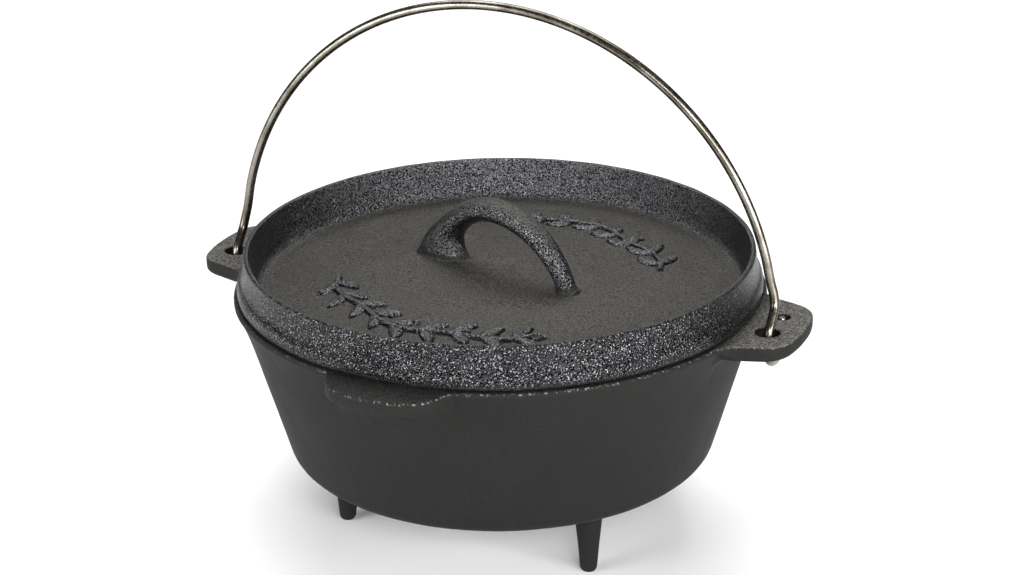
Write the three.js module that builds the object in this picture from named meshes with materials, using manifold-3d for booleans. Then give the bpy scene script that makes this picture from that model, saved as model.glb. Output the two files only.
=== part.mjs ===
// Cast iron camp oven: a pot on three legs, its flanged lid and its wire bail.
// Millimetres, +Z up. The origin is the centre of the pot's flat underside.
// The ears and the bail's hooks are on +X and -X, and the front lip is on -Y.
import * as THREE from 'three';
import { mergeVertices } from 'three/addons/utils/BufferGeometryUtils.js';
import Module from 'manifold-3d';

const wasm = await Module();
wasm.setup();

// Pot
const RIM_Z = 88.5;            // rim plane above the underside
const RIM_OUTER_R = 136;       // widest point of the rim's rolled edge
const RIM_INNER_R = 127;
const WALL = 5.5;
const FOOT_R = 108.9;          // where the sloping wall would meet the underside
const WALL_SLOPE = 0.29;       // radius gained per millimetre of height
const OUTER_FILLET = 10;
const INNER_FILLET = 12;

// Legs: the angles are measured from +X
const LEG_LENGTH = 40;
const LEG_CIRCLE_R = 82.5;
const LEG_ANGLES = [-35, -149, 90];
const LEG_TOP_R = 7.6;
const LEG_TIP_R = 4.3;
const LEG_FLAT_R = 2;

// Ears and the holes that hold the bail
const EAR_THICKNESS = 7.5;
const EAR_REACH = 163;
const EAR_HOLES = [
  { x: 146.5, y: -9.8, r: 6.2 }, { x: 147.5, y: 11.6, r: 4.9 },
  { x: -148, y: -9.8, r: 6.2 }, { x: -147.5, y: 11.6, r: 4.9 },
];

// Front lip
const LIP_HALF_WIDTH = 44;     // where its sides run out of the rim
const LIP_REACH = 153.5;
const LIP_EDGE = 6.6;          // height of the lip's front face
const LIP_ROOT = 20;           // how far down the wall its underside runs

// Lid
const LID_GAP = 0.3;           // between the lid's flange and the rim
const RING_TOP = 21.8;         // ring top above the rim plane
const RING_OUTER_R = 130.3;
const RING_INNER_R = 127.6;
const FLANGE_R = 134.3;
const FLOOR_R = 119;           // where the tray's floor turns up into the ring
const FLOOR_EDGE = 0.8;        // floor at that radius, above the rim plane
const FLOOR_CENTRE = 7.5;      // crown of the floor, above the rim plane
const PLATE = 5.2;

// Lid handle
const HANDLE_TURN = THREE.MathUtils.degToRad(-16.2);
const HANDLE_SIDES = 14;
// Along the handle: distance from the lid's axis, height above the floor's crown,
// half the thickness in the handle's plane and half the width across it
const HANDLE_RINGS = [
  [-37.4, -4, 15.9, 9.2], [-37.2, 1.2, 15, 9], [-36.4, 6.2, 12.2, 8.4], [-33, 14, 7.9, 7.6],
  [-27, 21, 6.5, 7.6], [-19, 27, 6.1, 7.9], [-9, 30.9, 6, 8], [2, 31.5, 6, 8],
  [13, 29.3, 5.8, 7.6], [22.5, 25, 5.5, 7], [31.8, 17.8, 5.2, 6.2], [38.8, 9.5, 4.9, 5.4],
  [43.2, 1, 4.9, 5.2], [44.6, -4, 4.9, 5.2],
];

// Bail
const WIRE_R = 2.38;
const AXIS_Z = RIM_Z - EAR_THICKNESS;
const BAIL_LEAN = THREE.MathUtils.degToRad(2);
const ARCH_HALF_WIDTH = 147;
const ARCH_RISE = 152;
const ARCH_BASE = 4;           // the half ellipse springs from here above the axis
const HOOK_X = 147.5;
const HOOK_R = 11.2;
const HOOK_TIP = 6.9;          // tip of the wire above the axis
const KINK_TOP = 24;           // the wire is back over the axis from here up

const TURNS = 60;              // facets round the pot and the lid

/** Turns a closed three.js geometry into a manifold solid. */
function solid(geometry) {
  const bare = geometry.clone();
  bare.deleteAttribute('normal');
  bare.deleteAttribute('uv');
  const merged = mergeVertices(bare, 1e-4);
  const index = merged.index.array;
  const kept = [];
  for (let i = 0; i < index.length; i += 3) {
    const [a, b, c] = [index[i], index[i + 1], index[i + 2]];
    if (a !== b && b !== c && c !== a) kept.push(a, b, c);
  }
  return new wasm.Manifold(new wasm.Mesh({
    numProp: 3,
    vertProperties: new Float32Array(merged.attributes.position.array),
    triVerts: new Uint32Array(kept),
  }));
}

/** Gives a manifold solid back as a three.js mesh of its own material. */
function part(name, body, material) {
  const mesh = body.getMesh();
  const geometry = new THREE.BufferGeometry();
  geometry.setAttribute('position', new THREE.BufferAttribute(mesh.vertProperties, 3));
  geometry.setIndex(new THREE.BufferAttribute(mesh.triVerts, 1));
  geometry.computeVertexNormals();
  const out = new THREE.Mesh(geometry, new THREE.MeshStandardMaterial(material));
  out.name = name;
  return out;
}

/** A solid turned about Z from a path of (radius, height), drawn from the axis to the axis. */
function turned(path, turns = TURNS, divisions = 4) {
  const geometry = new THREE.LatheGeometry(path.getPoints(divisions), turns);
  return solid(geometry.rotateX(Math.PI / 2));
}

/** A flat outline in X and Y, raised from one height to another. */
function plate(shape, low, high, divisions = 5) {
  const options = { depth: high - low, bevelEnabled: false, curveSegments: divisions };
  return solid(new THREE.ExtrudeGeometry(shape, options).translate(0, 0, low));
}

/** Fillet between a level floor and the sloping wall: its centre and where its arc ends. */
function fillet(floorZ, lineR, radius) {
  const lean = Math.atan(WALL_SLOPE);
  const z = floorZ + radius;
  const r = lineR + WALL_SLOPE * z - radius / Math.cos(lean);
  return { r, z, end: -lean };
}

function potOutside() {
  const f = fillet(0, FOOT_R, OUTER_FILLET);
  const flareZ = RIM_Z - 24;
  const edgeZ = RIM_Z - 2.8;
  const path = new THREE.Path();
  path.moveTo(0, 0);
  path.lineTo(f.r, 0);
  path.absarc(f.r, f.z, OUTER_FILLET, -Math.PI / 2, f.end, false);
  path.lineTo(FOOT_R + WALL_SLOPE * flareZ, flareZ);
  path.quadraticCurveTo(FOOT_R + WALL_SLOPE * (RIM_Z - 10), RIM_Z - 10, RIM_OUTER_R, edgeZ);
  path.quadraticCurveTo(RIM_OUTER_R, RIM_Z, RIM_OUTER_R - 2.8, RIM_Z);
  path.lineTo(0, RIM_Z);
  return turned(path);
}

function potCavity() {
  const lineR = FOOT_R - WALL / Math.cos(Math.atan(WALL_SLOPE));
  const f = fillet(WALL, lineR, INNER_FILLET);
  const above = RIM_Z + 5;
  const path = new THREE.Path();
  path.moveTo(0, WALL);
  path.lineTo(f.r, WALL);
  path.absarc(f.r, f.z, INNER_FILLET, -Math.PI / 2, f.end, false);
  path.lineTo(RIM_INNER_R, (RIM_INNER_R - lineR) / WALL_SLOPE);
  path.lineTo(RIM_INNER_R, above);
  path.lineTo(0, above);
  return turned(path);
}

function leg(angle) {
  const path = new THREE.Path();
  path.moveTo(0, -LEG_LENGTH);
  path.lineTo(LEG_FLAT_R, -LEG_LENGTH);
  path.quadraticCurveTo(LEG_TIP_R - 0.2, -LEG_LENGTH, LEG_TIP_R, 3 - LEG_LENGTH);
  path.lineTo(LEG_TOP_R, -4);
  path.quadraticCurveTo(LEG_TOP_R + 0.5, 0, LEG_TOP_R + 4, 0.5);
  path.lineTo(LEG_TOP_R + 4, 2);
  path.lineTo(0, 2);
  const t = THREE.MathUtils.degToRad(angle);
  return turned(path, 16, 3).translate([LEG_CIRCLE_R * Math.cos(t), LEG_CIRCLE_R * Math.sin(t), 0]);
}

/** The ear on +X: a flat lug whose sides run out of the rim in shallow curves. */
function ear() {
  const shape = new THREE.Shape();
  shape.moveTo(100, -46);
  shape.lineTo(124.5, -46);
  shape.quadraticCurveTo(129.5, -37.2, 139, -33);
  shape.lineTo(151.5, -29);
  shape.quadraticCurveTo(160, -26, EAR_REACH - 1.6, -17);
  shape.quadraticCurveTo(EAR_REACH + 1.6, 0, EAR_REACH - 1.6, 17);
  shape.quadraticCurveTo(160, 26, 151.5, 29);
  shape.lineTo(139, 33);
  shape.quadraticCurveTo(129.5, 37.2, 124.5, 46);
  shape.lineTo(100, 46);
  return plate(shape, RIM_Z - EAR_THICKNESS, RIM_Z);
}

function earHole({ x, y, r }) {
  const circle = new THREE.Shape().absarc(x, y, r, 0, 2 * Math.PI, false);
  return plate(circle, RIM_Z - EAR_THICKNESS - 5, RIM_Z + 5, 10);
}

/** The lug at the front: level on top, its underside running back down the wall. */
function lip() {
  const plan = new THREE.Shape();
  plan.moveTo(LIP_HALF_WIDTH, -100);
  plan.lineTo(LIP_HALF_WIDTH, -124.5);
  plan.bezierCurveTo(34, -127, 33, -132, 29.5, -139.5);
  plan.quadraticCurveTo(25.5, -148.8, 18, 2.3 - LIP_REACH);
  plan.quadraticCurveTo(0, -2.3 - LIP_REACH, -18, 2.3 - LIP_REACH);
  plan.quadraticCurveTo(-25.5, -148.8, -29.5, -139.5);
  plan.bezierCurveTo(-33, -132, -34, -127, -LIP_HALF_WIDTH, -124.5);
  plan.lineTo(-LIP_HALF_WIDTH, -100);
  const side = new THREE.Shape();           // (distance to the front, height)
  side.moveTo(100, RIM_Z);
  side.lineTo(100, RIM_Z - LIP_ROOT);
  side.lineTo(128, RIM_Z - LIP_ROOT);
  side.quadraticCurveTo(137, RIM_Z - 9, LIP_REACH + 1, RIM_Z - LIP_EDGE);
  side.lineTo(LIP_REACH + 1, RIM_Z);
  const across = new THREE.ExtrudeGeometry(side, { depth: 100, bevelEnabled: false, curveSegments: 4 });
  across.translate(0, 0, -50).rotateX(Math.PI / 2).rotateZ(-Math.PI / 2);
  return plate(plan, RIM_Z - LIP_ROOT, RIM_Z).intersect(solid(across));
}

function pot() {
  const flip = [0, 0, 180];
  let body = potOutside().add(ear()).add(ear().rotate(flip)).add(lip());
  for (const angle of LEG_ANGLES) body = body.add(leg(angle));
  for (const hole of EAR_HOLES) body = body.subtract(earHole(hole));
  return body.subtract(potCavity());
}

/** The lid's casting without its handle, with the rim plane at height 0. */
function lidPlate() {
  const under = FLOOR_EDGE - PLATE;
  const path = new THREE.Path();
  path.moveTo(0, FLOOR_CENTRE - PLATE);
  path.quadraticCurveTo(FLOOR_R * 0.55, FLOOR_CENTRE - PLATE, FLOOR_R, under);
  path.lineTo(RIM_INNER_R - 3.2, under - 0.6);
  path.lineTo(RIM_INNER_R - 2, under + 0.8);
  path.lineTo(RIM_INNER_R - 1, LID_GAP);
  path.lineTo(FLANGE_R - 3, LID_GAP);
  path.quadraticCurveTo(FLANGE_R, 1.6, FLANGE_R, 5);
  path.quadraticCurveTo(RING_OUTER_R + 1.6, RING_TOP - 6, RING_OUTER_R, RING_TOP - 0.8);
  path.lineTo(RING_OUTER_R - 0.8, RING_TOP);
  path.lineTo(RING_INNER_R + 0.8, RING_TOP);
  path.lineTo(RING_INNER_R, RING_TOP - 0.8);
  path.lineTo(RING_INNER_R - 2.2, FLOOR_EDGE + 5);
  path.quadraticCurveTo(RING_INNER_R - 2.7, FLOOR_EDGE, FLOOR_R, FLOOR_EDGE);
  path.quadraticCurveTo(FLOOR_R * 0.55, FLOOR_CENTRE, 0, FLOOR_CENTRE);
  return turned(path);
}

/** A closed skin through rings of the same number of points, with a fan over each end. */
function loft(rings) {
  const sides = rings[0].length;
  const points = rings.flat();
  const index = [];
  for (let i = 0; i < rings.length - 1; i++) {
    for (let j = 0; j < sides; j++) {
      const a = i * sides + j;
      const b = i * sides + (j + 1) % sides;
      index.push(a, a + sides, b, b, a + sides, b + sides);
    }
  }
  const last = (rings.length - 1) * sides;
  for (let j = 1; j < sides - 1; j++) {
    index.push(0, j, j + 1, last, last + j + 1, last + j);
  }
  const geometry = new THREE.BufferGeometry().setFromPoints(points);
  geometry.setIndex(index);
  return solid(geometry);
}

/** The loop handle: an arch from a wide foot to a slender one, both set into the floor. */
function handle() {
  const line = new THREE.CatmullRomCurve3(HANDLE_RINGS.map(([x, z]) => new THREE.Vector3(x, 0, z)));
  const rings = HANDLE_RINGS.map(([x, z, thick, wide], i) => {
    const along = line.getTangent(i / (HANDLE_RINGS.length - 1));
    const ring = [];
    for (let j = 0; j < HANDLE_SIDES; j++) {
      const t = (j / HANDLE_SIDES) * 2 * Math.PI;
      const out = thick * Math.cos(t);
      ring.push(new THREE.Vector3(x - out * along.z, wide * Math.sin(t), z + out * along.x));
    }
    return ring;
  });
  return loft(rings);
}

function lid() {
  const turn = THREE.MathUtils.radToDeg(HANDLE_TURN);
  return lidPlate().add(handle().translate([0, 0, FLOOR_CENTRE]).rotate([0, 0, turn]));
}

/** One end of the wire, on +X: the tip, the hook under the ear and the kink above it. */
function hookPoints() {
  const points = [[HOOK_X, HOOK_R, HOOK_TIP], [HOOK_X, HOOK_R, HOOK_TIP / 2]];
  for (let i = 0; i <= 8; i++) {
    const t = (i / 8) * Math.PI;
    points.push([HOOK_X, HOOK_R * Math.cos(t), -HOOK_R * Math.sin(t)]);
  }
  points.push([HOOK_X, -HOOK_R, 3.5], [HOOK_X, -HOOK_R + 1.3, 8.5]);
  points.push([HOOK_X + 0.2, -HOOK_R / 2, 13.5], [HOOK_X, -1.6, 18.5], [HOOK_X - 1, -0.2, KINK_TOP]);
  return points;
}

/** The wire's centreline about the hinge axis, from one tip over the arch to the other. */
function bailPoints() {
  const hook = hookPoints();
  const points = [...hook];
  const start = Math.asin((KINK_TOP + 6 - ARCH_BASE) / ARCH_RISE);
  const count = 30;
  for (let i = 0; i <= count; i++) {
    const t = start + (i / count) * (Math.PI - 2 * start);
    points.push([ARCH_HALF_WIDTH * Math.cos(t), 0, ARCH_BASE + ARCH_RISE * Math.sin(t)]);
  }
  for (const [x, y, z] of hook.reverse()) points.push([-x, y, z]);
  return points.map((p) => new THREE.Vector3(...p));
}

function bail() {
  const wire = new THREE.CatmullRomCurve3(bailPoints(), false, 'centripetal');
  const section = new THREE.Shape().absarc(0, 0, WIRE_R, 0, 2 * Math.PI, false);
  return solid(new THREE.ExtrudeGeometry(section, { extrudePath: wire, steps: 170, curveSegments: 4 }));
}

const group = new THREE.Group();
group.name = 'camp_oven';

group.add(part('pot', pot(), { color: 0x3b3a39, roughness: 0.75, metalness: 0.3 }));

const lidMesh = part('lid', lid(), { color: 0x45433f, roughness: 0.7, metalness: 0.3 });
lidMesh.position.z = RIM_Z;
group.add(lidMesh);

const bailMesh = part('bail', bail(), { color: 0x8a8679, roughness: 0.35, metalness: 0.9 });
bailMesh.position.z = AXIS_Z;
bailMesh.rotation.x = BAIL_LEAN;
group.add(bailMesh);

export default group;
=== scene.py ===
"""Looks of a cast iron camp oven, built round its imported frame.

Lengths are in millimetres in the frame's own axes until a mesh is made, which scales them to
metres. The pot's underside is at height 0, the ears are on +X and -X, and the lip is on -Y.
"""
import math

import bmesh
import bpy
import numpy as np
from mathutils import Matrix, Vector, noise


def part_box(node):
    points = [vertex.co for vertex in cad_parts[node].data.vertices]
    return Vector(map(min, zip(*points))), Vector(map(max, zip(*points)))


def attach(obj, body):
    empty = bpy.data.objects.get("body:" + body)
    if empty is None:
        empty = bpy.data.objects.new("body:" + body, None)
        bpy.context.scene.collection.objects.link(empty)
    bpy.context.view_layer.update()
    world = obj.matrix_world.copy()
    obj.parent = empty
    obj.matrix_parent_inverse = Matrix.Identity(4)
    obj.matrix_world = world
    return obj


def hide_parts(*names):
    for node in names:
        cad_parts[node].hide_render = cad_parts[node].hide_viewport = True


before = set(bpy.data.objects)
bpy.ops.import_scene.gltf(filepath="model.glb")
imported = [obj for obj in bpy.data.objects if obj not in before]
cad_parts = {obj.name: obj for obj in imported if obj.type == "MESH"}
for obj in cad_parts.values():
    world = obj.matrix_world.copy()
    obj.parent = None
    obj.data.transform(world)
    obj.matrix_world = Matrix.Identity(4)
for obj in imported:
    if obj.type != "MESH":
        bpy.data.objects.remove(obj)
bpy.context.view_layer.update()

MM = 0.001
POT_LOW, POT_HIGH = (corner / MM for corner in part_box("pot"))
LID_LOW, LID_HIGH = (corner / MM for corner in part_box("lid"))
BAIL_LOW, BAIL_HIGH = (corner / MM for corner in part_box("bail"))

# Pot
RIM = POT_HIGH.z
FEET = POT_LOW.z
EAR_REACH = POT_HIGH.x
LIP_REACH = -POT_LOW.y
RIM_R = 136.0
BORE_R = 127.0
WALL = 5.5
FOOT_R = 108.9                 # where the sloping wall would meet the underside
SLOPE = 0.29
OUTER_FILLET = 10.0
INNER_FILLET = 12.0
EAR_THICK = 7.5
LIP_THICK = 6.6
EAR_HOLES = [(146.5, -9.8, 6.2), (147.5, 11.5, 3.9), (-148.0, -9.8, 6.2), (-147.5, 11.5, 3.9)]
LEG_R = 82.5
LEG_ANGLES = (-35, -149, 90)
# Where an ear or the lip changes the outline: middle of the stretch and half its span, in degrees
LUG_STRETCHES = ((0, 22), (180, 22), (270, 20))
FINE_STEP, COARSE_STEP = 0.4, 1.5

# Lid, with heights above the rim plane
FLANGE_R = LID_HIGH.x
RING_TOP = 21.8
RING_OUT = 130.3
RING_IN = 127.6
FLOOR_R = 119.0
FLOOR_EDGE = 0.8
CROWN = 7.5
PLATE = 5.2
RELIEF = 1.9                   # height of the ornament on the tray
BRANCH_R = 82.0
BRANCHES = ((205, 306), (25, 126))
HANDLE_TURN = math.radians(-16.2)
# Along the handle: distance from the lid's axis, height above the crown, half thickness, half width
HANDLE = [
    (-37.4, -4, 15.9, 9.2), (-37.2, 1.2, 15, 9), (-36.4, 6.2, 12.2, 8.4), (-33, 14, 7.9, 7.6),
    (-27, 21, 6.5, 7.6), (-19, 27, 6.1, 7.9), (-9, 30.9, 6, 8), (2, 31.5, 6, 8),
    (13, 29.3, 5.8, 7.6), (22.5, 25, 5.5, 7), (31.8, 17.8, 5.2, 6.2), (38.8, 9.5, 4.9, 5.4),
    (43.2, 1, 4.9, 5.2), (44.6, -4, 4.9, 5.2),
]

# Bail
WIRE_R = 2.38
AXIS_Z = RIM - EAR_THICK
LEAN = math.radians(2)
ARCH = (147.0, 152.0, 4.0)     # half width, rise, and height of its centre above the hinge
HOOK_X = 147.5
HOOK_R = 11.2
HOOK_TIP = 6.9
KINK_TOP = 24.0

# Castings come out of their sand mould a little uneven: how far, and how wide each swell is
SWELL = 0.15
POT_SWELL_SIZE = 16
LID_SWELL_SIZE = 14

# Colours of the coarse grain, of the painted shade in its hollows, and of bare metal
PEBBLE = (0.12, 0.12, 0.126)
HOLLOW_SHADE = (0.011, 0.011, 0.011)
SPARK = (0.25, 0.25, 0.265)
RUBBED = (0.32, 0.31, 0.295)

# Camera: degrees round from the front, up, and of roll; metres from the rim's centre
VIEW = (23.8, 22.4, 0.8156)
VIEW_DISTANCE = 1.3323
LENS = 91.68
SHIFT = (0.01021, -0.00453)

# Softboxes: name, place and aim in metres, size in metres, watts
SOFTBOXES = (
    ("left", (-0.98, -1.25, 0.40), (0, 0, 0.1), (0.9, 0.8), 25),
    ("right", (1.42, -0.76, 0.40), (0, 0, 0.1), (1.3, 0.8), 35),
    ("front", (0.84, -1.35, 0.80), (0, 0, 0.1), (0.5, 0.4), 17),
    ("rear", (-0.35, 0.85, 1.8), (0, 0, 0.08), (1.7, 1.5), 46),
)
AMBIENT = 0.10
FLOOR_HALF = 3.0


# ---------------------------------------------------------------- curves and meshes

def bezier(points, count):
    """Points on one quadratic or cubic Bezier curve, its ends included."""
    p = [np.array(q, float) for q in points]
    out = []
    for t in np.linspace(0, 1, count):
        row = list(p)
        while len(row) > 1:
            row = [a * (1 - t) + b * t for a, b in zip(row, row[1:])]
        out.append(row[0])
    return out


def straight(start, end, count):
    return bezier([start, end], count)


def arc(centre, radius, start, end, count):
    """Points on a circular arc from one angle to another, in degrees."""
    angles = np.radians(np.linspace(start, end, count))
    return [np.array([centre[0] + radius * math.cos(a), centre[1] + radius * math.sin(a)])
            for a in angles]


def spline(points, count):
    """Evenly spread points on a centripetal Catmull-Rom curve through the given points."""
    p = [np.array(q, float) for q in points]
    p = [2 * p[0] - p[1]] + p + [2 * p[-1] - p[-2]]
    dense = []
    for a, b, c, d in zip(p, p[1:], p[2:], p[3:]):
        ta, tb, tc = (max(np.linalg.norm(v), 1e-6) ** 0.5 for v in (b - a, c - b, d - c))
        m1 = (b - a) / ta - (c - a) / (ta + tb) + (c - b) / tb
        m2 = (c - b) / tb - (d - b) / (tb + tc) + (d - c) / tc
        for t in np.linspace(0, 1, 16, endpoint=False):
            dense.append((2 * t**3 - 3 * t**2 + 1) * b + (t**3 - 2 * t**2 + t) * m1 * tb
                         + (3 * t**2 - 2 * t**3) * c + (t**3 - t**2) * m2 * tb)
    dense = np.array(dense + [p[-2]])
    along = np.r_[0, np.cumsum(np.linalg.norm(np.diff(dense, axis=0), axis=1))]
    spread = np.linspace(0, along[-1], count)
    return np.array([np.interp(spread, along, dense[:, k]) for k in range(dense.shape[1])]).T


def new_object(name, points, faces):
    """A mesh object from points in millimetres."""
    mesh = bpy.data.meshes.new(name)
    mesh.from_pydata([tuple(Vector(p) * MM) for p in points], [], faces)
    made = bpy.data.objects.new(name, mesh)
    bpy.context.scene.collection.objects.link(made)
    return made


def swept(sections):
    """Points and faces of a skin through sections of equal length, closed over at both ends."""
    sides = len(sections[0])
    points = [tuple(p) for ring in sections for p in ring]
    faces = []
    for i in range(len(sections) - 1):
        for j in range(sides):
            a, b = i * sides + j, i * sides + (j + 1) % sides
            faces.append((a, b, b + sides, a + sides))
    faces.append(tuple(reversed(range(sides))))
    faces.append(tuple(range(len(points) - sides, len(points))))
    return points, faces


def turned(profiles, angles):
    """Points and faces of a solid turned about Z. Each angle has its own (radius, height) path,
    and every path starts and ends on the axis."""
    count = len(profiles[0])
    points = [(0, 0, profiles[0][0][1]), (0, 0, profiles[0][-1][1])]
    for path, angle in zip(profiles, angles):
        for r, z in path[1:-1]:
            points.append((r * math.cos(angle), r * math.sin(angle), z))
    inner = count - 2
    faces = []
    for i in range(len(angles)):
        a, b = 2 + i * inner, 2 + ((i + 1) % len(angles)) * inner
        faces.append((0, b, a))
        faces += [(a + j, b + j, b + j + 1, a + j + 1) for j in range(inner - 1)]
        faces.append((a + inner - 1, b + inner - 1, 1))
    return points, faces


def combine(target, tool, operation):
    """Joins or cuts one closed mesh with another, and leaves no modifier behind."""
    change = target.modifiers.new("combine", "BOOLEAN")
    change.object = tool
    change.operation = operation
    change.solver = "EXACT"
    graph = bpy.context.evaluated_depsgraph_get()
    mesh = bpy.data.meshes.new_from_object(target.evaluated_get(graph))
    target.modifiers.clear()
    old = target.data
    target.data = mesh
    bpy.data.meshes.remove(old)
    bpy.data.objects.remove(tool)


def vertex_vectors(mesh):
    """A mesh's vertex places in millimetres, and its vertex normals."""
    count = len(mesh.vertices)
    co, normal = np.zeros(count * 3), np.zeros(count * 3)
    mesh.vertices.foreach_get("co", co)
    mesh.vertex_normals.foreach_get("vector", normal)
    return co.reshape(-1, 3) / MM, normal.reshape(-1, 3)


def uneven(piece, depth, size):
    """Moves a casting's surface in and out by up to `depth`, in waves about `size` across."""
    mesh = piece.data
    co, normal = vertex_vectors(mesh)
    wave = [noise.noise(Vector(p) / size) * depth for p in co]
    mesh.vertices.foreach_set("co", ((co + normal * np.array(wave)[:, None]) * MM).ravel())


def finish_surface(piece, sharp=40):
    """Outward faces, smooth shading, and a hard edge wherever faces meet at more than `sharp`."""
    work = bmesh.new()
    work.from_mesh(piece.data)
    bmesh.ops.remove_doubles(work, verts=work.verts, dist=0.004 * MM)
    bmesh.ops.recalc_face_normals(work, faces=work.faces)
    for face in work.faces:
        face.smooth = True
    for edge in work.edges:
        edge.smooth = edge.calc_face_angle(0) < math.radians(sharp)
    work.to_mesh(piece.data)
    work.free()


# ---------------------------------------------------------------- pot

def ear_outline():
    """Half of an ear's plan, from its middle to where it runs into the rim."""
    tip = EAR_REACH
    points = bezier([(tip, 0), (tip, 8.5), (tip - 1.6, 17)], 8)
    points += bezier([(tip - 1.6, 17), (tip - 3, 26), (151.5, 29)], 10)
    points += straight((151.5, 29), (139, 33), 5)
    return points + bezier([(139, 33), (129.5, 37.2), (124.5, 46)], 10)


def lip_outline():
    """Half of the lip's plan, with the distance to the front first."""
    points = bezier([(LIP_REACH, 0), (LIP_REACH, 9), (LIP_REACH - 2.3, 18)], 8)
    points += bezier([(LIP_REACH - 2.3, 18), (148.8, 25.5), (139.5, 29.5)], 10)
    return points + bezier([(139.5, 29.5), (132, 33), (127, 34), (124.5, 44)], 12)


def reach_by_angle(outline):
    """Turns a plan outline into angle and radius lists for np.interp."""
    points = np.array(outline)
    angles = np.arctan2(points[:, 1], points[:, 0])
    order = np.argsort(angles)
    return angles[order], np.hypot(points[:, 0], points[:, 1])[order]


def smooth_max(a, b, width=1.2):
    return 0.5 * (a + b + math.sqrt((a - b) ** 2 + width**2))


def pot_angles():
    """Angles round the pot, closer together where an ear or the lip changes its outline."""
    fine = set()
    for middle, span in LUG_STRETCHES:
        fine.update(np.round(np.arange(-span, span + 0.01, FINE_STEP) + middle, 3) % 360)
    coarse = {a for a in np.arange(0, 360, COARSE_STEP)
              if min(abs((a - middle + 180) % 360 - 180) - span
                     for middle, span in LUG_STRETCHES) > 2 * FINE_STEP}
    return np.radians(sorted(fine | coarse))


def wall_r(z):
    return FOOT_R + SLOPE * z


def mixed(weights, values):
    return sum(w * v for w, v in zip(weights, values))


def pot_profile(angle):
    """The pot's section at one angle, from the underside's centre over the rim to the floor's."""
    ear_t, ear_r = reach_by_angle(ear_outline())
    lip_t, lip_r = reach_by_angle(lip_outline())
    from_ear = abs((angle + math.pi / 2) % math.pi - math.pi / 2)
    from_lip = abs((angle + math.pi / 2 + math.pi) % (2 * math.pi) - math.pi)
    ear = float(np.interp(from_ear, ear_t, ear_r, right=100))
    lip = float(np.interp(from_lip, lip_t, lip_r, right=100))
    reach = min(smooth_max(RIM_R, max(ear, lip)), max(ear, lip, RIM_R + 0.35))
    lug = min(1, max(0, (reach - RIM_R - 0.35) / 5))
    share = (1 - lug, lug, 0) if ear >= lip else (1 - lug, 0, lug)

    start = mixed(share, (RIM - 24, RIM - 15, RIM - 23))
    turn_r = mixed(share, (wall_r(RIM - 11), wall_r(RIM - 9), 136))
    turn_z = mixed(share, (RIM - 11, RIM - EAR_THICK, RIM - 10))
    under = mixed(share, (RIM - 2.6, RIM - EAR_THICK, RIM - LIP_THICK - 0.4))
    low_round = mixed(share, (0.4, 2.0, 2.4))
    top_round = mixed(share, (1.4, 1.2, 1.4))
    land = mixed(share, (reach - 0.4, min(reach - 2.2, 141), reach - 2.4))

    lean = math.atan(SLOPE)
    out_r = FOOT_R + SLOPE * OUTER_FILLET - OUTER_FILLET / math.cos(lean)
    line_r = FOOT_R - WALL / math.cos(lean)
    in_z = WALL + INNER_FILLET
    in_r = line_r + SLOPE * in_z - INNER_FILLET / math.cos(lean)
    edge = -math.degrees(lean)

    path = [np.array([r, 0.0]) for r in np.linspace(0, out_r, 9)[:-1]]
    path += arc((out_r, OUTER_FILLET), OUTER_FILLET, -90, edge, 8)
    path += straight(path[-1], (wall_r(start), start), 9)[1:]
    path += bezier([(wall_r(start), start), (turn_r, turn_z), (land, under)], 12)[1:]
    path += straight((land, under), (reach - low_round, under), 3)[1:]
    path += arc((reach - low_round, under + low_round), low_round, -90, 0, 5)[1:]
    path += arc((reach - top_round, RIM - top_round), top_round, 0, 90, 6)
    path += straight(path[-1], (BORE_R + 0.8, RIM), 8)[1:]
    path += arc((BORE_R + 0.8, RIM - 0.8), 0.8, 90, 180, 4)[1:]
    bore_low = (BORE_R - line_r) / SLOPE
    path += straight(path[-1], (BORE_R, bore_low), 3)[1:]
    bottom = arc((in_r, in_z), INNER_FILLET, edge, -90, 8)
    path += straight((BORE_R, bore_low), bottom[0], 9)[1:-1]
    path += bottom
    path += [np.array([r, WALL]) for r in np.linspace(in_r, 0, 8)[1:]]
    return path


def leg(angle):
    """A tapered leg with a rounded tip and a fillet under the pot."""
    path = [(0, FEET), (2.0, FEET)] + bezier([(2.0, FEET), (4.1, FEET), (4.35, FEET + 3.2)], 6)[1:]
    path += straight((4.35, FEET + 3.2), (7.5, -4), 6)[1:]
    path += bezier([(7.5, -4), (7.9, -0.4), (10.8, 0.4)], 6)[1:]
    path += [(10.8, 2.0), (0, 2.0)]
    turns = np.radians(np.arange(0, 360, 12))
    made = new_object("leg", *turned([path] * len(turns), turns))
    t = math.radians(angle)
    place = Vector((LEG_R * math.cos(t), LEG_R * math.sin(t), 0))
    made.data.transform(Matrix.Translation(place * MM))
    return made


def hole_cutter(x, y, r):
    """A cutter that leaves a hole with rounded edges through an ear."""
    low, high = RIM - EAR_THICK, RIM
    path = [(0, low - 2), (r + 1, low - 2)]
    path += bezier([(r + 1, low), (r, low), (r, low + 1.2)], 5)
    path += bezier([(r, high - 1), (r, high), (r + 0.9, high)], 5)
    path += [(r + 0.9, high + 2), (0, high + 2)]
    turns = np.radians(np.arange(0, 360, 9))
    made = new_object("hole", *turned([path] * len(turns), turns))
    made.data.transform(Matrix.Translation(Vector((x, y, 0)) * MM))
    return made


def make_pot():
    angles = pot_angles()
    pot = new_object("pot_casting", *turned([pot_profile(a) for a in angles], angles))
    for angle in LEG_ANGLES:
        combine(pot, leg(angle), "UNION")
    for hole in EAR_HOLES:
        combine(pot, hole_cutter(*hole), "DIFFERENCE")
    finish_surface(pot)
    uneven(pot, SWELL, POT_SWELL_SIZE)
    return pot


# ---------------------------------------------------------------- lid

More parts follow.
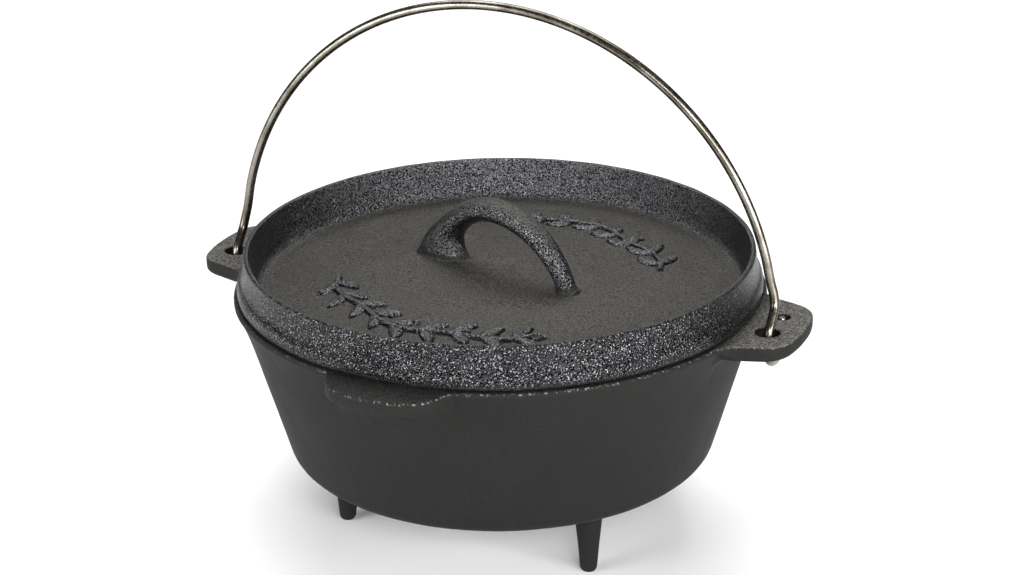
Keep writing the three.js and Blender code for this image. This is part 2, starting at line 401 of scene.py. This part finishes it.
def floor_height(r):
    """Height of the lid's tray above the rim plane at a distance from its axis."""
    t = np.linspace(0, 1, 60)
    radii = 2 * (1 - t) * t * 0.55 * FLOOR_R + t**2 * FLOOR_R
    return float(np.interp(r, radii, CROWN - (CROWN - FLOOR_EDGE) * t**2))


def lid_profile():
    under = FLOOR_EDGE - PLATE
    path = bezier([(0, CROWN - PLATE), (FLOOR_R * 0.55, CROWN - PLATE), (FLOOR_R, under)], 12)
    path += bezier([(FLOOR_R, under), (BORE_R - 2.2, under - 0.9),
                    (BORE_R - 1.6, under + 1.2)], 6)[1:]
    path += bezier([(BORE_R - 1.4, -1), (BORE_R - 1, 0.3), (BORE_R + 0.5, 0.3)], 5)
    path += bezier([(FLANGE_R - 2.4, 0.3), (FLANGE_R, 0.3), (FLANGE_R, 3.2)], 8)
    path += bezier([(FLANGE_R, 3.2), (FLANGE_R + 0.1, 6.8), (FLANGE_R - 1.9, 8.6)], 7)[1:]
    path += bezier([(FLANGE_R - 1.9, 8.6), (RING_OUT + 0.6, 11),
                    (RING_OUT, RING_TOP - 1.1)], 9)[1:]
    path += arc((RING_OUT - 1.1, RING_TOP - 1.1), 1.1, 0, 90, 5)[1:]
    path += arc((RING_IN + 0.9, RING_TOP - 0.9), 0.9, 90, 180, 5)
    path += straight(path[-1], (RING_IN - 2.0, FLOOR_EDGE + 5.5), 9)[1:]
    path += bezier([path[-1], (RING_IN - 2.6, FLOOR_EDGE), (FLOOR_R, FLOOR_EDGE)], 9)[1:]
    floor = bezier([(FLOOR_R, FLOOR_EDGE), (FLOOR_R * 0.55, CROWN), (0, CROWN)], 20)[1:]
    return [np.array([r, z + RIM]) for r, z in path + floor]


def handle():
    """The loop handle: one thick wide foot, one slender foot, and a small fillet round each.
    Its rings lie closer together towards the feet."""
    stations = np.array([(x, z) for x, z, _, _ in HANDLE], float)
    fine = spline(stations, 400)
    share = 0.5 - 0.5 * np.cos(np.linspace(0, math.pi, 72))
    line = fine[np.unique(np.round((len(fine) - 1) * share).astype(int))]
    along = np.r_[0, np.cumsum(np.linalg.norm(np.diff(stations, axis=0), axis=1))]
    spread = np.r_[0, np.cumsum(np.linalg.norm(np.diff(line, axis=0), axis=1))]
    spread *= along[-1] / spread[-1]
    height = line[:, 1] + CROWN - np.array([floor_height(abs(x)) for x in line[:, 0]])
    fillet = 0.8 * np.exp(-np.maximum(height, -0.5) / 0.7)
    slope = np.gradient(line, axis=0)
    slope /= np.linalg.norm(slope, axis=1, keepdims=True)
    thick = np.interp(spread, along, [row[2] for row in HANDLE]) + fillet
    wide = np.interp(spread, along, [row[3] for row in HANDLE]) + fillet
    rings = []
    for (x, z), (dx, dz), a, b in zip(line, slope, thick, wide):
        ring = []
        for t in np.radians(np.arange(0, 360, 11.25)):
            out = a * math.cos(t)
            ring.append((x - out * dz, b * math.sin(t), z + out * dx + RIM + CROWN))
        rings.append(ring)
    made = new_object("handle", *swept(rings))
    made.data.transform(Matrix.Rotation(HANDLE_TURN, 4, "Z"))
    return made


def make_lid():
    turns = np.radians(np.arange(0, 360, 1.25))
    lid = new_object("lid_casting", *turned([lid_profile()] * len(turns), turns))
    combine(lid, handle(), "UNION")
    finish_surface(lid)
    uneven(lid, SWELL, LID_SWELL_SIZE)
    return lid


def ridge(path, widths, height, crest=0.0):
    """Points and faces of a raised line on the lid's tray. Its width follows `widths` along the
    path, and `crest` takes its section from a round top, 0, to a sharp one, 1."""
    count = max(9, int(sum(math.dist(a, b) for a, b in zip(path, path[1:])) / 1.1))
    line = spline(path, count)
    ahead = np.gradient(line, axis=0)
    ahead /= np.linalg.norm(ahead, axis=1, keepdims=True)
    half = np.interp(np.linspace(0, 1, count), np.linspace(0, 1, len(widths)), widths) / 2
    section = [(math.cos(t), (1 - crest) * math.sin(t) ** 0.7 + crest * (1 - abs(math.cos(t))))
               for t in np.linspace(0, math.pi, 9)]
    section = [(1.0, -0.9), *section, (-1.0, -0.9)]
    rings = []
    for (x, y), (dx, dy), w in zip(line, ahead, half):
        base = RIM + floor_height(math.hypot(x, y))
        rise = height * min(1, 0.25 + w / 1.6)
        rings.append([(x - dy * u * w, y + dx * u * w, base + (v * rise if v > 0 else v))
                      for u, v in section])
    return swept(rings)


def on_arc(radius, degrees, outward=0.0):
    a = math.radians(degrees)
    return ((radius + outward) * math.cos(a), (radius + outward) * math.sin(a))


def leaf(root, heading, length, width):
    """A curved pointed leaf with a sharp midrib."""
    a, bend = math.radians(heading), math.radians(heading + 16)
    middle = (root[0] + 0.5 * length * math.cos(bend), root[1] + 0.5 * length * math.sin(bend))
    tip = (root[0] + length * math.cos(a), root[1] + length * math.sin(a))
    profile = [0.16 * width, 0.8 * width, width, 0.75 * width, 0.12 * width]
    return ridge([root, middle, tip], profile, RELIEF, crest=0.35)


def branch(start, end):
    """A leafy branch round the tray between two angles, with berries and a curled end."""
    def stem_at(angle):
        return on_arc(BRANCH_R, angle, 2.2 * math.sin(math.radians(9 * (angle - start))))

    stem = [stem_at(a) for a in np.linspace(start, end, 15)]
    x, y = stem[-1]
    curl = [(x + (6.5 - 0.9 * i) * math.sin(0.7 * i), y + 0.9 * i * math.cos(0.7 * i))
            for i in range(1, 6)]
    made = [ridge(stem + curl, [3.2, 3.4, 3.0, 2.0], RELIEF)]
    for a in np.linspace(start + 5, end - 8, 9):
        root = stem_at(a)
        for side, lean, length in ((1, 44, 15.0), (-1, -44, 15.0)):
            made.append(leaf(root, a + 90 + lean, length, 7.4))
            berry = on_arc(BRANCH_R, a + 4.6, side * 5.5)
            made.append(ridge([berry, (berry[0] + 1.6, berry[1]), (berry[0] + 3.2, berry[1])],
                              [1.0, 2.8, 3.2, 2.8, 1.0], RELIEF))
    return made


def make_relief():
    """The raised ornament on the lid's tray: two leafy branches that face each other."""
    points, faces = [], []
    for span in BRANCHES:
        for more_points, more_faces in branch(*span):
            faces += [tuple(i + len(points) for i in face) for face in more_faces]
            points += more_points
    relief = new_object("lid_relief", points, faces)
    finish_surface(relief, 60)
    return relief


# ---------------------------------------------------------------- bail

def bail_line():
    """The wire's centreline about the hinge axis, from one tip over the arch to the other."""
    hook = [(HOOK_X, HOOK_R, HOOK_TIP), (HOOK_X, HOOK_R, HOOK_TIP / 2)]
    for t in np.linspace(0, math.pi, 9):
        hook.append((HOOK_X, HOOK_R * math.cos(t), -HOOK_R * math.sin(t)))
    hook += [(HOOK_X, -HOOK_R, 3.5), (HOOK_X, 1.3 - HOOK_R, 8.5)]
    hook += [(HOOK_X + 0.2, -HOOK_R / 2, 13.5), (HOOK_X, -1.6, 18.5), (HOOK_X - 1, -0.2, KINK_TOP)]
    half, rise, base = ARCH
    start = math.asin((KINK_TOP + 6 - base) / rise)
    arch = [(half * math.cos(t), 0, base + rise * math.sin(t))
            for t in np.linspace(start, math.pi - start, 31)]
    return spline(hook + arch + [(-x, y, z) for x, y, z in reversed(hook)], 420)


def make_bail():
    """A round wire swept along its centreline, with softened ends."""
    line = bail_line()
    slope = np.gradient(line, axis=0)
    slope /= np.linalg.norm(slope, axis=1, keepdims=True)
    side = np.array([1.0, 0, 0])
    rings = []
    for i, (centre, ahead) in enumerate(zip(line, slope)):
        side = side - ahead * side.dot(ahead)
        side /= np.linalg.norm(side)
        other = np.cross(ahead, side)
        radius = WIRE_R * (0.72 if i in (0, len(line) - 1) else 1.0)
        rings.append([centre + radius * (side * math.cos(t) + other * math.sin(t))
                      for t in np.radians(np.arange(0, 360, 20))])
    bail = new_object("bail_wire", *swept(rings))
    lean = Matrix.Rotation(LEAN, 4, "X")
    bail.data.transform(Matrix.Translation(Vector((0, 0, AXIS_Z)) * MM) @ lean)
    finish_surface(bail, 50)
    return bail


# ---------------------------------------------------------------- materials

def smooth_step(value, low, high):
    t = np.clip((value - low) / (high - low), 0, 1)
    return t * t * (3 - 2 * t)


def paint_zones(piece, rule):
    """Stores how coarse, how worn and how much painted light each vertex takes as a colour, for the
    material to read. The light share picks between the side tone and the lit top tone of the satin
    iron and sets the strength of the coarse gloss, so it paints light and shade."""
    mesh = piece.data
    co, normal = vertex_vectors(mesh)
    zones = np.ones((len(co), 4))
    zones[:, :3] = np.stack(rule(co, normal), axis=1)
    layer = mesh.color_attributes.new("zones", "FLOAT_COLOR", "POINT")
    layer.data.foreach_set("color", zones.ravel())


def pot_zones(co, normal):
    """Satin, more mottled where it is level. Painted light makes the level tops of the ears light,
    and painted shade keeps the rest of the rim's top and the lip's top dark, where the lid's shadow
    falls. The rim's outer edge is worn, most of all on the right and at the lip."""
    r, z, up = np.hypot(co[:, 0], co[:, 1]), co[:, 2], normal[:, 2]
    edge = smooth_step(z, RIM - 1.5, RIM - 0.4) * smooth_step(r, RIM_R - 2.2, RIM_R - 1.0)
    rounded = smooth_step(up, 0.15, 0.45) * (1 - smooth_step(up, 0.85, 0.98))
    level = smooth_step(z, RIM - 1.0, RIM - 0.2) * smooth_step(up, 0.5, 0.9)
    ears = smooth_step(np.abs(co[:, 0]), 128, 140)
    used = 0.25 + 0.75 * smooth_step(co[:, 0] - 0.35 * co[:, 1], -20, 60)
    # The third share is painted light: full on the ears' level tops, almost none on the lip's top
    # and the rest of the rim's top, as a painted shadow of the lid.
    return 0.1 + 0.25 * level, edge * rounded * used, level * (0.05 + 0.95 * ears)


def lid_zones(co, normal):
    """Coarse on the ring and the handle's sides, satin on the tray. Painted light makes the tray,
    the handle and the ring's inside lighter, and painted shade makes the ring's outside dark.
    """
    r, height, up = np.hypot(co[:, 0], co[:, 1]), co[:, 2] - RIM, normal[:, 2]
    ring = smooth_step(r, 117, 123.5)
    knob = smooth_step(height, CROWN + 0.8, CROWN + 3.5) * (1 - smooth_step(r, 60, 70))
    knob *= 1 - 0.65 * smooth_step(up, 0.45, 0.9)
    ring *= 1 - 0.6 * smooth_step(-height, -4.5, -2.0) * smooth_step(r, 128, 131)
    ring *= 1 - 0.5 * smooth_step(up, 0.75, 0.97)
    # Painted light and shade: the light share is high on up-facing faces, the ring's inside and the
    # handle, and low on the ring's outside.
    outer = smooth_step(r, RING_IN + 0.5, RING_OUT - 0.5)
    inside = smooth_step(r, 120, 124) * (1 - outer)
    light = np.maximum(smooth_step(up, 0.3, 0.95) * (1 - outer), np.maximum(inside, 0.75 * knob))
    return 0.36 + 0.64 * np.maximum(ring, knob), 0 * r, light


def relief_zones(co, normal):
    """Coarse all over, with painted light on the tops and painted shade on the sides."""
    return 0.92 + 0 * co[:, 0], 0 * co[:, 0], smooth_step(normal[:, 2], 0.3, 0.95)


class Shading:
    """A material's node tree, with short ways to add the nodes that the finishes share."""

    def __init__(self, name):
        self.material = bpy.data.materials.new(name)
        self.material.use_nodes = True
        self.tree = self.material.node_tree
        self.shader = self.tree.nodes["Principled BSDF"]
        self.place = self.node("ShaderNodeTexCoord").outputs["Object"]

    def node(self, kind, inputs=(), **settings):
        made = self.tree.nodes.new(kind)
        for key, value in settings.items():
            setattr(made, key, value)
        for key, value in dict(inputs).items():
            if isinstance(value, bpy.types.NodeSocket):
                self.tree.links.new(value, made.inputs[key])
            else:
                made.inputs[key].default_value = value
        return made

    def grain(self, size_mm, detail=2.0, roughness=0.5):
        """Noise from 0 to 1 whose blotches are about `size_mm` across."""
        made = self.node("ShaderNodeTexNoise", {"Vector": self.place, "Scale": 1 / (size_mm * MM),
                                                "Detail": detail, "Roughness": roughness})
        return made.outputs["Fac"]

    def band(self, value, low, high, to_low=0.0, to_high=1.0):
        """A smooth step of a value."""
        made = self.node("ShaderNodeMapRange", {"Value": value, "From Min": low, "From Max": high,
                                                "To Min": to_low, "To Max": to_high},
                         interpolation_type="SMOOTHSTEP")
        return made.outputs["Result"]

    def math(self, operation, a, b):
        return self.node("ShaderNodeMath", {0: a, 1: b}, operation=operation).outputs[0]

    def mix(self, share, a, b):
        made = self.node("ShaderNodeMix", data_type="RGBA")
        for key, value in (("Factor", share), ("A", a), ("B", b)):
            socket = next(s for s in made.inputs if s.name == key and s.enabled)
            if isinstance(value, bpy.types.NodeSocket):
                self.tree.links.new(value, socket)
            else:
                socket.default_value = value if key == "Factor" else (*value, 1)
        return next(s for s in made.outputs if s.enabled)

    def scaled(self, colour, share):
        made = self.node("ShaderNodeVectorMath", {0: colour, 3: share}, operation="SCALE")
        return made.outputs[0]

    def zones(self):
        """The coarse, worn and light shares painted on the vertices; the light share stands for
        light and shade.
        """
        colour = self.node("ShaderNodeAttribute", attribute_name="zones").outputs["Color"]
        return self.node("ShaderNodeSeparateColor", {"Color": colour}).outputs

    def set(self, **values):
        for key, value in values.items():
            socket = self.shader.inputs[key.replace("_", " ")]
            if isinstance(value, bpy.types.NodeSocket):
                self.tree.links.new(value, socket)
            else:
                socket.default_value = value

    def bump(self, height, distance_mm):
        made = self.node("ShaderNodeBump", {"Height": height, "Strength": 1.0,
                                            "Distance": distance_mm * MM})
        self.tree.links.new(made.outputs["Normal"], self.shader.inputs["Normal"])


def cast_iron(name, side, top, gloss, shine, depth):
    """Seasoned cast iron, from a satin finish with faint mottling where the grain is fine to glossy
    pebbles, hollows painted dark as shade, and sparks where it is coarse. Painted light picks a lit
    tone for the satin iron and dims or brightens the gloss. Worn edges are bare metal."""
    look = Shading(name)
    coarse, worn, light = look.zones()[:3]
    blotches = look.grain(28, 3)
    pebbles = look.grain(0.88, 2, 0.6)
    grainy = look.band(coarse, 0.5, 0.9)

    dust = look.band(look.grain(1.05, 2.5, 0.7), 0.38, 0.62, -1, 1)
    mottled = look.math("MULTIPLY", dust, look.band(coarse, 0.0, 0.4, 0.05, 0.85))
    shade = look.math("MULTIPLY", look.band(blotches, 0.3, 0.7, 0.88, 1.1),
                      look.math("ADD", 1.0, mottled))
    # Painted light and shade: the satin iron takes the lighter top tone where the light share is
    # high and the darker side tone elsewhere.
    satin = look.scaled(look.mix(light, side, top), shade)

    # Painted shade: the pebbles' hollows are coloured near black to stand in for the shade in the
    # grain's recesses.
    glossy = look.mix(look.band(pebbles, 0.56, 0.42), PEBBLE, HOLLOW_SHADE)
    # Painted highlight and shade: the coarse gloss is dimmed to three tenths where the light share
    # is low.
    glossy = look.scaled(glossy, look.band(light, 0, 1, 0.3, 1))
    glossy = look.mix(look.band(look.grain(0.8, 1, 0.5), 0.6, 0.68), glossy, SPARK)

    rubbed = look.math("MULTIPLY", worn, look.band(look.grain(1.6, 3, 0.7), 0.53, 0.68))
    colour = look.mix(rubbed, look.mix(grainy, satin, glossy), RUBBED)
    rough = look.math("SUBTRACT", look.band(blotches, 0.3, 0.7, gloss - 0.04, gloss + 0.04),
                      look.math("MULTIPLY", grainy, gloss - 0.34))
    look.set(Base_Color=colour, Roughness=rough, Specular_IOR_Level=shine,
             Metallic=look.math("MAXIMUM", grainy, look.math("MULTIPLY", rubbed, 0.8)))
    relief = look.math("MULTIPLY", pebbles, look.band(coarse, 0.0, 1.0, 0.05, 1.0))
    swells = look.math("MULTIPLY", look.grain(4, 3), 0.15)
    look.bump(look.math("ADD", relief, swells), depth)
    return look.material


def steel_wire():
    """Drawn steel wire with brownish patches and uneven polish."""
    look = Shading("steel_wire")
    patches = look.band(look.grain(14, 3, 0.5), 0.36, 0.66)
    colour = look.mix(patches, (0.22, 0.208, 0.182), (0.105, 0.094, 0.073))
    rough = look.band(look.grain(2.2, 3, 0.6), 0.3, 0.7, 0.2, 0.36)
    look.set(Base_Color=colour, Roughness=rough, Metallic=1.0)
    look.bump(look.grain(0.8, 3, 0.6), 0.02)
    return look.material


def pale_floor():
    look = Shading("pale_floor")
    look.set(Base_Color=(0.92, 0.92, 0.92, 1), Roughness=0.7, Specular_IOR_Level=0.2)
    return look.material


# ---------------------------------------------------------------- stage

def make_floor():
    half = FLOOR_HALF / MM
    corners = [(-half, -half, FEET), (half, -half, FEET), (half, half, FEET), (-half, half, FEET)]
    floor = new_object("floor", corners, [(0, 1, 2, 3)])
    floor.data.materials.append(pale_floor())


def make_camera():
    """A long lens that looks at the rim's centre from the right of the front."""
    azimuth, elevation, roll = (math.radians(v) for v in VIEW)
    back = Vector((math.sin(azimuth) * math.cos(elevation),
                   -math.cos(azimuth) * math.cos(elevation), math.sin(elevation)))
    right = Vector((math.cos(azimuth), math.sin(azimuth), 0))
    up = back.cross(right)
    tilted_right = right * math.cos(roll) - up * math.sin(roll)
    tilted_up = right * math.sin(roll) + up * math.cos(roll)
    data = bpy.data.cameras.new("camera")
    data.sensor_width = 36
    data.lens = LENS
    data.shift_x, data.shift_y = SHIFT
    camera = bpy.data.objects.new("camera", data)
    turn = Matrix((tilted_right, tilted_up, back)).transposed().to_4x4()
    place = Vector((0, 0, RIM * MM)) + back * VIEW_DISTANCE
    camera.matrix_world = Matrix.Translation(place) @ turn
    bpy.context.scene.collection.objects.link(camera)
    bpy.context.scene.camera = camera


def softbox(name, place, aim, size, power):
    """A rectangular area light that faces the point it aims at."""
    data = bpy.data.lights.new(name, "AREA")
    data.shape = "RECTANGLE"
    data.size, data.size_y = size
    data.energy = power
    lamp = bpy.data.objects.new(name, data)
    lamp.location = place
    lamp.rotation_euler = (Vector(aim) - Vector(place)).to_track_quat("-Z", "Y").to_euler()
    bpy.context.scene.collection.objects.link(lamp)


def make_lights():
    world = bpy.data.worlds.new("studio")
    world.use_nodes = True
    background = world.node_tree.nodes["Background"]
    background.inputs["Color"].default_value = (1, 1, 1, 1)
    background.inputs["Strength"].default_value = AMBIENT
    bpy.context.scene.world = world
    for box in SOFTBOXES:
        softbox(*box)


def main():
    bpy.context.scene.view_settings.view_transform = "Standard"
    make_camera()
    make_lights()
    make_floor()
    # Each iron's second tone is the painted light tone of its up-facing faces. The first is its
    # side tone, which also stands as painted shade on the pot's lip.
    pot_iron = cast_iron("pot_iron", (0.0077, 0.0073, 0.0069), (0.088, 0.084, 0.076),
                         gloss=0.7, shine=0.18, depth=0.9)
    lid_iron = cast_iron("lid_iron", (0.010, 0.010, 0.011), (0.036, 0.0335, 0.0285),
                         gloss=0.55, shine=0.22, depth=0.8)
    for make, zones, body, slot, finish in (
            (make_pot, pot_zones, "pot", "pot_iron", pot_iron),
            (make_lid, lid_zones, "lid", "lid_iron", lid_iron),
            (make_relief, relief_zones, "lid", "lid_iron", lid_iron),
            (make_bail, None, "bail", "bail_wire", steel_wire())):
        piece = make()
        if zones:
            paint_zones(piece, zones)
        piece.data.materials.clear()
        piece.data.materials.append(finish)
        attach(piece, body)
        if make is not make_relief:
            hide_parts(body)


main()
